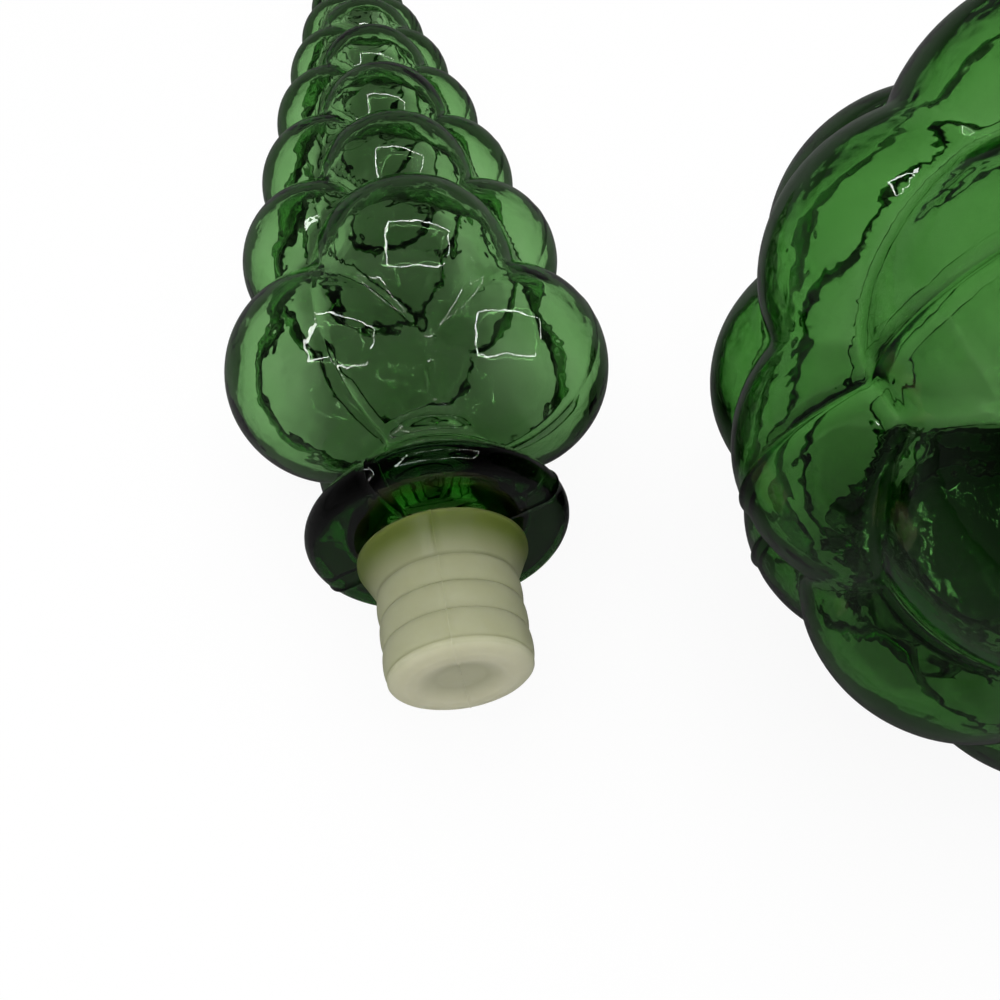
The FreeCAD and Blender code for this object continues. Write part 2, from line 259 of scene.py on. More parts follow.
# %% Wrap the skin over one bubble after the other
def stored(label, kind="FLOAT"):
    return add_node(skin_tree, "GeometryNodeInputNamedAttribute", {"Name": label}, data_type=kind)


bubbles = add_node(skin_tree, "GeometryNodeObjectInfo", {0: given["Bubbles"]}).outputs["Geometry"]
bubble_count = add_node(skin_tree, "GeometryNodeAttributeDomainSize", {0: bubbles}, component="MESH")
start = skin_tree.nodes.new("GeometryNodeRepeatInput")
end = skin_tree.nodes.new("GeometryNodeRepeatOutput")
start.pair_with_output(end)
skin_tree.links.new(bubble_count.outputs["Point Count"], start.inputs["Iterations"])
skin_tree.links.new(store.outputs[0], start.inputs["Geometry"])
centre = add_node(skin_tree, "GeometryNodeSampleIndex",
                  {"Geometry": bubbles, "Value": add_node(skin_tree, "GeometryNodeInputPosition"),
                   "Index": start.outputs["Iteration"]}, data_type="FLOAT_VECTOR", domain="POINT")
radius = add_node(skin_tree, "GeometryNodeSampleIndex",
                  {"Geometry": bubbles, "Value": stored("radius"), "Index": start.outputs["Iteration"]},
                  data_type="FLOAT", domain="POINT")
to_centre = add_node(skin_tree, "ShaderNodeVectorMath",
                     {0: centre, 1: stored("anchor_point", "FLOAT_VECTOR")}, operation="SUBTRACT")
along = add_node(skin_tree, "ShaderNodeVectorMath", {0: to_centre, 1: stored("ray", "FLOAT_VECTOR")},
                 operation="DOT_PRODUCT").outputs["Value"]
far = add_node(skin_tree, "ShaderNodeVectorMath", {0: to_centre, 1: to_centre},
               operation="DOT_PRODUCT").outputs["Value"]
wall_radius = skin_math("SUBTRACT", radius, stored("inset"))
inside = skin_math("SUBTRACT", skin_math("MULTIPLY", wall_radius, wall_radius),
                   skin_math("SUBTRACT", far, skin_math("MULTIPLY", along, along)))
leaves = skin_math("MULTIPLY", skin_math("ADD", along, skin_math("SQRT", skin_math("MAXIMUM", inside, 0))),
                   skin_math("GREATER_THAN", inside, 0))
reach = skin_math("SMOOTH_MAX", stored("reach"), leaves, stored("crease"))
wrapped = add_node(skin_tree, "GeometryNodeStoreNamedAttribute",
                   {"Geometry": start.outputs["Geometry"], "Name": "reach", "Value": reach},
                   data_type="FLOAT", domain="POINT")
skin_tree.links.new(wrapped.outputs[0], end.inputs["Geometry"])

# %% [markdown]
# The grid's first and last columns now lie on each other, and a row on the axis is a single point.
# Merging by distance closes both. The edge that joins the outer tip to the inner one has no faces left,
# so it goes.

# %% Put the vertices at the ends of their rays, and close the skin
MERGE_DISTANCE = 0.002 * MM
tip = add_node(skin_tree, "ShaderNodeVectorMath",
               {0: stored("ray", "FLOAT_VECTOR"), "Scale": stored("reach")}, operation="SCALE")
ended = add_node(skin_tree, "ShaderNodeVectorMath", {0: stored("anchor_point", "FLOAT_VECTOR"), 1: tip},
                 operation="ADD")
skin = add_node(skin_tree, "GeometryNodeSetPosition",
                {"Geometry": end.outputs["Geometry"], "Position": ended})
skin = add_node(skin_tree, "GeometryNodeMergeByDistance", {"Geometry": skin, "Distance": MERGE_DISTANCE})
loose = skin_math("LESS_THAN", add_node(skin_tree, "GeometryNodeInputMeshEdgeNeighbors"), 1)
skin = add_node(skin_tree, "GeometryNodeDeleteGeometry", {"Geometry": skin, "Selection": loose},
                domain="EDGE", mode="EDGE_FACE")
skin = add_node(skin_tree, "GeometryNodeFlipFaces", {"Mesh": skin})

# %% [markdown]
# Noise seldom goes past three quarters. Counted from there, the waves only press the skin in, so that no
# wave makes a piece larger than its mould.

# %% Waves and seams
WAVE_TOP = 0.75
where = add_node(skin_tree, "ShaderNodeVectorMath",
                 {0: add_node(skin_tree, "GeometryNodeInputPosition"),
                  "Scale": skin_math("DIVIDE", 1, given["Wave Size"])}, operation="SCALE")
noise = add_node(skin_tree, "ShaderNodeTexNoise",
                 {"Vector": where, "W": given["Seed"], "Scale": 1, "Detail": 2.5, "Roughness": 0.5},
                 noise_dimensions="4D")
waves = skin_math("MULTIPLY", stored("wave"), skin_math(
    "MULTIPLY", skin_math("SUBTRACT", noise, WAVE_TOP), 2))
ridge = add_node(skin_tree, "ShaderNodeMapRange",
                 {0: stored("steps_away"), 1: 0, 2: SEAM_COLUMNS, 3: stored("seam"), 4: 0})
lift = skin_math("ADD", waves, ridge)
push = add_node(skin_tree, "ShaderNodeVectorMath",
                {0: add_node(skin_tree, "GeometryNodeInputNormal"), "Scale": lift}, operation="SCALE")
skin = add_node(skin_tree, "GeometryNodeSetPosition", {"Geometry": skin, "Offset": push})
skin = add_node(skin_tree, "GeometryNodeSetShadeSmooth", {"Geometry": skin})
skin = add_node(skin_tree, "GeometryNodeRealizeInstances", {"Geometry": skin})
skin = add_node(skin_tree, "GeometryNodeSetMaterial", {"Geometry": skin, "Material": given["Material"]})
add_node(skin_tree, "NodeGroupOutput", {"Geometry": skin})
print("skin tree has", len(skin_tree.nodes), "nodes")


# %% [markdown]
# The modifier's inputs are set by their identifiers before the first evaluation. The result is copied to
# a plain mesh, and the values that only the tree needed are taken off it. The volume that is printed
# checks that the faces point outwards: it would be negative if they did not.

# %% Turn the tree's result into a plain mesh
def make_skin(profile, name, place, **values):
    """Runs the skin tree on a profile, and gives a plain mesh object at the origin, placed in its mesh."""
    modifier = profile.modifiers.new("skin", "NODES")
    modifier.node_group = skin_tree
    for label, value in values.items():
        modifier[skin_inputs[label.replace("_", " ")]] = value
    bpy.context.view_layer.update()
    ready = profile.evaluated_get(bpy.context.evaluated_depsgraph_get())
    mesh = bpy.data.meshes.new_from_object(ready)
    profile.modifiers.remove(modifier)
    bpy.data.objects.remove(profile)
    mesh.name = name
    mesh.materials.clear()
    mesh.materials.append(values["Material"])
    mesh.polygons.foreach_set("material_index", [0] * len(mesh.polygons))
    for label in ("ray", "anchor_point", "reach", "steps_away", "inset", "crease", "wave", "seam"):
        mesh.attributes.remove(mesh.attributes[label])
    mesh.transform(place)
    piece = bpy.data.objects.new(name, mesh)
    bpy.context.scene.collection.objects.link(piece)
    mesh.calc_loop_triangles()
    corners = np.array([[mesh.vertices[v].co for v in t.vertices] for t in mesh.loop_triangles])
    volume_ml = np.einsum("ij,ij->i", corners[:, 0], np.cross(corners[:, 1], corners[:, 2])).sum() / 6 * 1e6
    print(name, "has", len(mesh.loop_triangles), "triangles and", round(volume_ml, 1),
          "millilitres of material")
    return piece


# %% [markdown]
# ## Green bottle glass
# Bottle glass is soda-lime glass coloured with iron and chromium, blown and cooled against a mould. It is
# clear, with an IOR of about 1.52 and a fire-polished surface. Its colour sits in the thickness: a thin
# wall looks pale, and the thick lip and the creases look deep. So the surface stays white and the volume
# absorbs red and blue. The mould leaves a fine ripple, which tears the reflection of a lamp. The bottle
# gets a deeper colour than the stopper.

# %% Glass materials
ABSORBED_PER_METRE = np.array((303.0, 150.0, 352.0))  # of red, green and blue
BASE_DENSITY = 400.0  # above the largest of the three, so that each channel's share stays under one
RIPPLE_SIZE = 6 * MM
RIPPLE_DEPTH = 0.35 * MM


def bottle_glass(name, depth):
    """depth is how many times deeper the colour is than in the stopper."""
    glass = bpy.data.materials.new(name)
    glass.use_nodes = True
    tree = glass.node_tree
    tree.nodes.clear()
    ripple = add_node(tree, "ShaderNodeTexNoise",
                      {"Vector": add_node(tree, "ShaderNodeTexCoord").outputs["Object"],
                       "Scale": 1 / RIPPLE_SIZE, "Detail": 2.0, "Roughness": 0.45})
    bump = add_node(tree, "ShaderNodeBump", {"Height": ripple, "Strength": 0.5, "Distance": RIPPLE_DEPTH})
    surface = add_node(tree, "ShaderNodeBsdfPrincipled",
                       {"Base Color": (1, 1, 1, 1), "Roughness": 0.0, "IOR": 1.52,
                        "Transmission Weight": 1.0, "Normal": bump})
    volume = add_node(tree, "ShaderNodeVolumeAbsorption",
                      {"Color": (*(1 - ABSORBED_PER_METRE / BASE_DENSITY), 1),
                       "Density": BASE_DENSITY * depth})
    add_node(tree, "ShaderNodeOutputMaterial", {"Surface": surface, "Volume": volume})
    print(name, "absorbs per metre", ABSORBED_PER_METRE * depth)
    return glass


thin_glass = bottle_glass("blown_green_bottle_glass", 1.0)
deep_glass = bottle_glass("blown_green_bottle_glass_thick", 1.3)

# %% [markdown]
# ## Ivory polyethylene
# The bung is moulded from low-density polyethylene. It is soft, waxy and lets some light in, so its
# colour is made of scattered light more than of its surface, and its gloss is dull and broad. Where it is
# thin, the green glass behind it shows through, and its grooves lie in shade. Both are painted into the
# colour: the mesh says how much painted green light and shade there is, and the colour there turns to olive.

# %% Bung material
CLOUD_SIZE = 6 * MM
DIMPLE_DEPTH = 0.3 * MM
LIGHT_REACH = 9 * MM
poly = bpy.data.materials.new("moulded_ivory_polyethylene")
poly.use_nodes = True
poly_tree = poly.node_tree
poly_tree.nodes.clear()
poly_noise = add_node(poly_tree, "ShaderNodeTexNoise",
                      {"Vector": add_node(poly_tree, "ShaderNodeTexCoord").outputs["Object"],
                       "Scale": 1 / CLOUD_SIZE, "Detail": 3.0, "Roughness": 0.6})
poly_colour = add_node(poly_tree, "ShaderNodeValToRGB", {"Fac": poly_noise})
poly_colour.color_ramp.elements[0].color = linear("BAB89C")
poly_colour.color_ramp.elements[1].color = linear("CAC8B0")
# Painted light and shade: the olive stands for green light through the glass and shade in the grooves.
painted_shade_amount = add_node(poly_tree, "ShaderNodeAttribute", attribute_name="tint").outputs["Fac"]
poly_with_painted_shade = add_node(poly_tree, "ShaderNodeMix",
                       {0: painted_shade_amount, 6: poly_colour, 7: linear("566228")}, data_type="RGBA").outputs[2]
poly_bump = add_node(poly_tree, "ShaderNodeBump",
                     {"Height": poly_noise, "Strength": 0.2, "Distance": DIMPLE_DEPTH})
poly_surface = add_node(poly_tree, "ShaderNodeBsdfPrincipled",
                        {"Base Color": poly_with_painted_shade, "Roughness": 0.35, "IOR": 1.51,
                         "Subsurface Weight": 1.0, "Subsurface Radius": (1, 1, 1),
                         "Subsurface Scale": LIGHT_REACH, "Normal": poly_bump})
add_node(poly_tree, "ShaderNodeOutputMaterial", {"Surface": poly_surface})
print(poly.name, "has", len(poly_tree.nodes), "nodes")

# %% [markdown]
# ## The bottle
# The ball has seven rings of six bubbles. The bubbles get smaller near the neck and the foot, where a
# ring is short. The neck is drawn out of the ball and ends in a round lip, and a low foot lets the bottle
# stand.

# %% Sizes of the bottle
WALL = 3.2 * MM
BALL_RADIUS = 72.5 * MM
BALL_HEIGHT = 87.3 * MM
BALL_CORE_RADIUS = 60.0 * MM
BALL_BUBBLE_RADIUS = 26.5 * MM
BALL_BUBBLE_SHARE = 0.62
BUBBLES_PER_BALL_RING = 6
BALL_RING_COUNT = 7
BALL_RING_STEP = 20.5
BALL_MIDDLE_RING = 3.0
BALL_TURN = -164.5
BOTTLE_HEIGHT = 262.0 * MM
MOUTH_RADIUS = 14.4 * MM
NECK_ROOT_RADIUS = 27.0 * MM
NECK_ROOT_HEIGHT = 148.6 * MM
NECK_STRAIGHT_HEIGHT = 188.6 * MM
NECK_BENDS = ((0.45, 0.28), (0.1, 0.68))  # how much of the narrowing is left, at which share of the rise
LIP_RADIUS = 26.8 * MM
LIP_THICKNESS = 8.0 * MM
FOOT_RADIUS = 33.0 * MM
FOOT_WAIST_RADIUS = 28.0 * MM
FOOT_WAIST_HEIGHT = 18.0 * MM
FOOT_EDGE_RADIUS = 3.0 * MM
FOOT_FLOOR = 7.0 * MM
FOOT_INNER_ROUND = 6.4 * MM
PUNT_RADIUS = 24.0 * MM
PUNT_HEIGHT = 3.0 * MM
MOUTH_EDGE = 1.2 * MM
OUTER_CREASE = 1.6 * MM
INNER_CREASE = 7.0 * MM
OUTER_WAVE = 0.12 * MM
INNER_WAVE = 0.7 * MM
BOTTLE_SEAM_HEIGHT = 0.5 * MM


# %% Rings of the ball
def ball_rings():
    rings = []
    half = BALL_RING_COUNT // 2
    for number in range(-half, BALL_RING_COUNT - half):
        latitude = math.radians(BALL_MIDDLE_RING + number * BALL_RING_STEP)
        gap = 2 * BALL_RADIUS * math.cos(latitude) * math.sin(math.pi / BUBBLES_PER_BALL_RING)
        size = min(BALL_BUBBLE_RADIUS, BALL_BUBBLE_SHARE * gap)
        distance = BALL_RADIUS - size
        rings.append((number, BALL_HEIGHT + distance * math.sin(latitude), distance * math.cos(latitude),
                      size))
    return rings


ball_bubbles = bubble_points("ball_bubbles", ball_rings(), BUBBLES_PER_BALL_RING, BALL_TURN)

# %% Profile of the bottle
bottle_profile = Profile()


def bottle_side(points, inset):
    inner = inset > 0
    for spot in points:
        seamed = not inner and FOOT_EDGE_RADIUS < spot[1] < BOTTLE_HEIGHT - LIP_THICKNESS
        bottle_profile.add(spot[0], spot[1], BALL_HEIGHT, inset, INNER_CREASE if inner else OUTER_CREASE,
                           INNER_WAVE if inner else OUTER_WAVE, BOTTLE_SEAM_HEIGHT if seamed else 0)


def neck_side(inset, count):
    top = MOUTH_RADIUS + WALL - inset
    root = NECK_ROOT_RADIUS - inset
    rise = NECK_STRAIGHT_HEIGHT - NECK_ROOT_HEIGHT
    bends = [(top + (root - top) * left, NECK_ROOT_HEIGHT + rise * share) for left, share in NECK_BENDS]
    return spline_points([(root, NECK_ROOT_HEIGHT), *bends, (top, NECK_STRAIGHT_HEIGHT)], count)


def ball_side(inset, low_radius, high_radius, count):
    """The round core, between the foot's waist and the root of the neck."""
    core = BALL_CORE_RADIUS - inset
    low = -math.degrees(math.acos(low_radius / core))
    high = math.degrees(math.acos(high_radius / core))
    return arc_points((0, BALL_HEIGHT), core, low, high, count)


half_lip = LIP_THICKNESS / 2
punt_round = (PUNT_RADIUS ** 2 + PUNT_HEIGHT ** 2) / (2 * PUNT_HEIGHT)
punt_edge = math.degrees(math.asin(PUNT_RADIUS / punt_round))
bottle_side(arc_points((0, PUNT_HEIGHT - punt_round), punt_round, 90, 90 - punt_edge, 10), 0)
bottle_side(arc_points((FOOT_RADIUS - FOOT_EDGE_RADIUS, FOOT_EDGE_RADIUS), FOOT_EDGE_RADIUS, -90, 0, 7), 0)
bottle_side(spline_points([(FOOT_RADIUS, FOOT_EDGE_RADIUS),
                           ((FOOT_RADIUS + FOOT_WAIST_RADIUS) / 2, FOOT_WAIST_HEIGHT / 2),
                           (FOOT_WAIST_RADIUS, FOOT_WAIST_HEIGHT)], 10)[1:], 0)
outer_core = ball_side(0, FOOT_WAIST_RADIUS, NECK_ROOT_RADIUS, 104)
rise_points = np.linspace(FOOT_WAIST_HEIGHT, outer_core[0][1], 10)[1:-1]
bottle_side([(FOOT_WAIST_RADIUS, height) for height in rise_points], 0)
bottle_side(outer_core, 0)
rise_points = np.linspace(outer_core[-1][1], NECK_ROOT_HEIGHT, 8)[1:-1]
bottle_side([(NECK_ROOT_RADIUS, height) for height in rise_points], 0)
bottle_side(neck_side(0, 16), 0)
neck_rows = np.linspace(NECK_STRAIGHT_HEIGHT, BOTTLE_HEIGHT - LIP_THICKNESS, 12)[1:]
bottle_side([(MOUTH_RADIUS + WALL, height) for height in neck_rows], 0)
bottle_side(arc_points((LIP_RADIUS - half_lip, BOTTLE_HEIGHT - half_lip), half_lip, -90, 90, 15), 0)
bottle_side(arc_points((MOUTH_RADIUS + MOUTH_EDGE, BOTTLE_HEIGHT - MOUTH_EDGE), MOUTH_EDGE, 90, 180, 5), 0)
bottle_side([(MOUTH_RADIUS, height) for height in neck_rows[::-1]][1:], WALL)
bottle_side(neck_side(WALL, 12)[::-1], WALL)
inner_core = ball_side(WALL, FOOT_WAIST_RADIUS - WALL, NECK_ROOT_RADIUS - WALL, 72)[::-1]
rise_points = np.linspace(NECK_ROOT_HEIGHT, inner_core[0][1], 6)[1:-1]
bottle_side([(NECK_ROOT_RADIUS - WALL, height) for height in rise_points], WALL)
bottle_side(inner_core, WALL)
floor_height = PUNT_HEIGHT + FOOT_FLOOR
inner_waist = FOOT_WAIST_RADIUS - WALL
round_at = (inner_waist - FOOT_INNER_ROUND, floor_height + FOOT_INNER_ROUND)
rise_points = np.linspace(inner_core[-1][1], round_at[1], 8)[1:-1]
bottle_side([(inner_waist, height) for height in rise_points], WALL)
bottle_side(arc_points(round_at, FOOT_INNER_ROUND, 0, -90, 7), WALL)
bottle_side([(radius_at, floor_height) for radius_at in np.linspace(round_at[0], 0, 8)[1:]], WALL)

# %% Blow the bottle
bottle = make_skin(bottle_profile.build("glass_bottle_skin"), "glass_bottle_blown", Matrix.Identity(4),
                   Bubbles=ball_bubbles, Columns=320, Seam_Angle=math.radians(BALL_TURN),
                   Seam_Count=2, Wave_Size=22 * MM, Seed=3.0, Material=deep_glass)

# %% [markdown]
# ## The stopper
# The stopper's bubbles stand in rings of three, and both they and the gaps between rings shrink by the
# same share from one ring to the next, down to the tip. Below them are a short neck, a round flange that
# covers the bottle's lip, and a peg for the bung. It is made standing on the bung and then laid down.

# %% Sizes of the stopper
STOPPER_WALL = 2.6 * MM
BUBBLES_PER_STOPPER_RING = 3
STOPPER_RING_COUNT = 17
FIRST_RING_AT = 42.0 * MM
FIRST_RING_STEP = 18.0 * MM
RING_STEP_RATIO = 0.952
STOPPER_BUBBLE_SHARE = 1.2
FIRST_BUBBLE_RADIUS = 23.0 * MM
SECOND_BUBBLE_GROWTH = 1.08
FIRST_RING_REACH = 43.5 * MM
SECOND_RING_REACH = 42.3 * MM
REACH_TAPER = 0.17
TIP_TAPER_FROM = 150.0 * MM
TIP_TAPER = 0.03
STOPPER_CORE_SHARE = 0.8
STOPPER_NECK_RADIUS = 17.2 * MM
STOPPER_SHOULDER_AT = 33.0 * MM
SHOULDER_START = 3.0 * MM  # before the first ring
SHOULDER_END = 8.0 * MM  # past the first ring
SHOULDER_SHARE = 0.78
NECK_RINGS_AT = (16.5 * MM, 22.5 * MM)
NECK_RING_HEIGHT = 1.3 * MM
NECK_RING_WIDTH = 1.6 * MM
FLANGE_RADIUS = 26.8 * MM
FLANGE_THICKNESS = 7.6 * MM
FLANGE_AT = 7.2 * MM
FLANGE_FILLET = 2.0 * MM
COLLAR_RADIUS = 13.6 * MM
COLLAR_BEND = (1.2 * MM, 3.2 * MM)
COLLAR_SPREAD = 4.0 * MM
BORE_WIDENS_OVER = 12.0 * MM
BORE_BEND = 5.0 * MM
PEG_RADIUS = 9.0 * MM
PEG_LENGTH = 20.0 * MM
BUNG_FLANGE_THICKNESS = 0.8 * MM
STOPPER_HEADING = 99.6
STOPPER_TILT = 9.47
STOPPER_ROLL = 8.0
STOPPER_SEAM = 146.0
STOPPER_PLACE = (-120.6 * MM, -17.5 * MM, 51.61 * MM)
STOPPER_CREASES = ((30 * MM, 38 * MM, 46 * MM, 54 * MM), (2.5 * MM, 6 * MM, 6 * MM, 1.8 * MM))
STOPPER_INNER_CREASE = 6.0 * MM
STOPPER_INNER_WAVE = 0.6 * MM
STOPPER_SEAM_HEIGHT = 0.35 * MM
CLUSTER_SEAM_HEIGHT = 0.06 * MM


# %% Rings of the stopper
def ring_reach(at):
    if at < FIRST_RING_AT + FIRST_RING_STEP / 2:
        return FIRST_RING_REACH
    beyond_second = at - FIRST_RING_AT - FIRST_RING_STEP
    return SECOND_RING_REACH - REACH_TAPER * beyond_second - TIP_TAPER * max(0, at - TIP_TAPER_FROM)


def stopper_rings():
    rings, at, step = [], FIRST_RING_AT, FIRST_RING_STEP
    for number in range(STOPPER_RING_COUNT):
        size = STOPPER_BUBBLE_SHARE * step if number else FIRST_BUBBLE_RADIUS
        if number == 1:
            size *= SECOND_BUBBLE_GROWTH
        rings.append((number, at, ring_reach(at) - size, size))
        at, step = at + step, step * RING_STEP_RATIO
    return rings


cluster = stopper_rings()
LAST_RING_AT = cluster[-1][1]
stopper_bubbles = bubble_points("stopper_bubbles", cluster, BUBBLES_PER_STOPPER_RING, 0)

# %% Profile of the stopper
stopper_profile = Profile()


def stopper_side(points, inset):
    """The rays fan out below the first ring, run level along the cluster, and fan out again at the tip."""
    inner = inset > 0
    for spot in points:
        anchor_at = min(max(spot[1], FIRST_RING_AT), LAST_RING_AT)
        seam = STOPPER_SEAM_HEIGHT if spot[1] < STOPPER_SHOULDER_AT else CLUSTER_SEAM_HEIGHT
        crease = float(np.interp(spot[1], *STOPPER_CREASES))
        stopper_profile.add(spot[0], spot[1], anchor_at, inset, STOPPER_INNER_CREASE if inner else crease,
                            STOPPER_INNER_WAVE if inner else OUTER_WAVE, 0 if inner else seam)


def cluster_side(inset, count, tip_count):
    """The round core behind the bubbles, from the shoulder to the tip."""
    wide = ring_reach(cluster[1][1]) * STOPPER_CORE_SHARE - inset
    narrow = ring_reach(LAST_RING_AT) * STOPPER_CORE_SHARE - inset
    neck = STOPPER_NECK_RADIUS - inset
    shoulder = spline_points([(neck, STOPPER_SHOULDER_AT),
                              (wide * SHOULDER_SHARE, FIRST_RING_AT - SHOULDER_START),
                              (wide, FIRST_RING_AT + SHOULDER_END)], count // 6)
    cone = [(np.interp(at, (shoulder[-1][1], LAST_RING_AT), (wide, narrow)), at)
            for at in np.linspace(shoulder[-1][1], LAST_RING_AT, count)[1:]]
    return shoulder[1:] + cone + arc_points((0, LAST_RING_AT), narrow, 0, 90, tip_count)[1:]


def neck_radius(height):
    """The neck with its two soft rings."""
    nearest = min(NECK_RINGS_AT, key=lambda at: abs(at - height))
    return STOPPER_NECK_RADIUS + NECK_RING_HEIGHT * math.exp(-((height - nearest) / NECK_RING_WIDTH) ** 2)


# %% From the peg over the flange and up the outside, and back down the inside
half_flange = FLANGE_THICKNESS / 2
rim = FLANGE_RADIUS - half_flange
fillet_at = FLANGE_AT + half_flange + FLANGE_FILLET
peg_end = BUNG_FLANGE_THICKNESS - PEG_LENGTH
peg_bore = PEG_RADIUS - STOPPER_WALL
neck_bore = STOPPER_NECK_RADIUS - STOPPER_WALL
stopper_side([(PEG_RADIUS, height) for height in np.linspace(peg_end, BUNG_FLANGE_THICKNESS, 6)], 0)
stopper_side([(COLLAR_RADIUS, BUNG_FLANGE_THICKNESS)], 0)
stopper_side(spline_points([(COLLAR_RADIUS, BUNG_FLANGE_THICKNESS),
                            (COLLAR_RADIUS + COLLAR_BEND[0], COLLAR_BEND[1]),
                            (COLLAR_RADIUS + COLLAR_SPREAD, FLANGE_AT - half_flange)], 6)[1:], 0)
stopper_side(arc_points((rim, FLANGE_AT), half_flange, -90, 90, 18), 0)
stopper_side(arc_points((STOPPER_NECK_RADIUS + FLANGE_FILLET, fillet_at), FLANGE_FILLET, -90, -180, 6), 0)
stopper_side([(neck_radius(height), height) for height in
              np.linspace(fillet_at, STOPPER_SHOULDER_AT, 30)[1:]], 0)
stopper_side(cluster_side(0, 186, 12), 0)
stopper_side(cluster_side(STOPPER_WALL, 112, 8)[::-1], STOPPER_WALL)
bore_from = FLANGE_AT + BORE_WIDENS_OVER
stopper_side([(neck_bore, height) for height in np.linspace(STOPPER_SHOULDER_AT, bore_from, 8)], STOPPER_WALL)
stopper_side(spline_points([(neck_bore, bore_from), ((peg_bore + neck_bore) / 2, FLANGE_AT + BORE_BEND),
                            (peg_bore, FLANGE_AT)], 8)[1:], STOPPER_WALL)
stopper_side([(peg_bore, height) for height in np.linspace(FLANGE_AT, peg_end, 6)[1:]], STOPPER_WALL)
stopper_side([(PEG_RADIUS, peg_end)], 0)

# %% Blow the stopper and lay it down
lean = Matrix.Rotation(math.radians(90 + STOPPER_TILT), 4, "Y")
heading = Matrix.Rotation(math.radians(STOPPER_HEADING), 4, "Z")
roll = Matrix.Rotation(math.radians(STOPPER_ROLL), 4, "Z")
lying = Matrix.Translation(STOPPER_PLACE) @ heading @ lean @ roll
stopper = make_skin(stopper_profile.build("glass_stopper_skin"), "glass_stopper_blown", lying,
                    Bubbles=stopper_bubbles, Columns=224, Seam_Angle=math.radians(STOPPER_SEAM),
                    Seam_Count=4, Wave_Size=15 * MM, Seed=8.0, Material=thin_glass)
for helper in (ball_bubbles, stopper_bubbles):
    bpy.data.objects.remove(helper)

# %% [markdown]
# ## The bung
# The bung is a closed sleeve with a thin flange, three soft ribs and a rounded end with a shallow dish.
# It could be lathed with a Screw modifier, but the same skin tree does it too: with no bubbles, its skin
# is the turned profile itself, and the mould seam comes with it.

# %% Sizes of the bung
BUNG_FLANGE_RADIUS = 17.0 * MM
BUNG_SKIRT_LENGTH = 7.0 * MM
BUNG_RADIUS = 14.1 * MM
BUNG_LENGTH = 26.4 * MM
BUNG_CAP_LENGTH = 2.3 * MM
BUNG_RIB_COUNT = 3
BUNG_GROOVE_DEPTH = 0.6 * MM
BUNG_END_ROUND = 3.6 * MM
BUNG_RECESS_RADIUS = 8.4 * MM
BUNG_RECESS_DEPTH = 1.2 * MM
BUNG_DISH_SLOPE = 3  # run for each unit of depth
BUNG_CAP_BENDS = ((1.0 * MM, 0.9 * MM), (0.4 * MM, 0.5 * MM))
BUNG_CLEARANCE = 0.1 * MM
BUNG_SEAM = 168.0
BUNG_SEAM_HEIGHT = 0.15 * MM
BUNG_WAVE = 0.08 * MM
BUNG_CREASE = 1.0 * MM
# Painted green light and shade on the bung: how much olive is mixed into its colour.
PAINTED_GREEN_LIGHT_SHARES = (0.0, 0.42, 0.55, 1.15)  # at the end, the cap, the skirt and the flange
PAINTED_GROOVE_SHADE = 0.1
PAINTED_GROOVE_SHADE_FADE = 3  # the painted shade is gone at a third of the groove's depth

# %% Where the bung's profile turns
groove = BUNG_RADIUS - BUNG_GROOVE_DEPTH
rib = (BUNG_LENGTH - BUNG_SKIRT_LENGTH - BUNG_CAP_LENGTH) / BUNG_RIB_COUNT
cap_at = BUNG_CAP_LENGTH - BUNG_LENGTH
end_radius = BUNG_RADIUS - BUNG_END_ROUND
dish = BUNG_RECESS_DEPTH - BUNG_LENGTH
dish_edge = BUNG_RECESS_RADIUS - BUNG_DISH_SLOPE * BUNG_RECESS_DEPTH
bore = PEG_RADIUS + BUNG_CLEARANCE
bore_end = BUNG_FLANGE_THICKNESS - PEG_LENGTH - BUNG_CLEARANCE
print("each rib is", round(rib / MM, 2), "mm long")

# %% Profile of the bung
bung_profile = Profile()


def bung_side(points):
    """Painted light and shade: how much green light through the glass shows, most at the thin flange, and a
    little painted shade in the grooves.
    """
    for spot in points:
        painted_green_light = float(np.interp(spot[1], (-BUNG_LENGTH, cap_at, -BUNG_SKIRT_LENGTH, 0), PAINTED_GREEN_LIGHT_SHARES))
        painted_groove_shade = PAINTED_GROOVE_SHADE * max(0.0, 1 - abs(spot[0] - groove) / BUNG_GROOVE_DEPTH * PAINTED_GROOVE_SHADE_FADE)
        bung_profile.add(spot[0], spot[1], spot[1], 0, BUNG_CREASE, BUNG_WAVE, BUNG_SEAM_HEIGHT,
                         min(1.0, painted_green_light + painted_groove_shade))


def row_of(start, end, count):
    """count points on a straight line, without its first."""
    return list(zip(np.linspace(start[0], end[0], count + 1)[1:],
                    np.linspace(start[1], end[1], count + 1)[1:]))


# %% From the dish over the ribs and the flange, and down the bore
bung_side([(0, dish)])
bung_side(row_of((0, dish), (dish_edge, dish), 8))
bung_side(row_of((dish_edge, dish), (BUNG_RECESS_RADIUS, -BUNG_LENGTH), 3))
bung_side(row_of((BUNG_RECESS_RADIUS, -BUNG_LENGTH), (end_radius, -BUNG_LENGTH), 4))
cap_bends = [(BUNG_RADIUS - BUNG_CAP_BENDS[0][0], BUNG_CAP_BENDS[0][1] - BUNG_LENGTH),
             (BUNG_RADIUS - BUNG_CAP_BENDS[1][0], cap_at - BUNG_CAP_BENDS[1][1])]
bung_side(spline_points([(end_radius, -BUNG_LENGTH), *cap_bends, (groove, cap_at)], 12)[1:])
for number in range(BUNG_RIB_COUNT):
    middle = cap_at + rib * (number + 0.5)
    swing = np.radians(np.linspace(-90, 90, 13)[1:])
    bung_side([(groove + BUNG_GROOVE_DEPTH * math.cos(a), middle + rib / 2 * math.sin(a)) for a in swing])
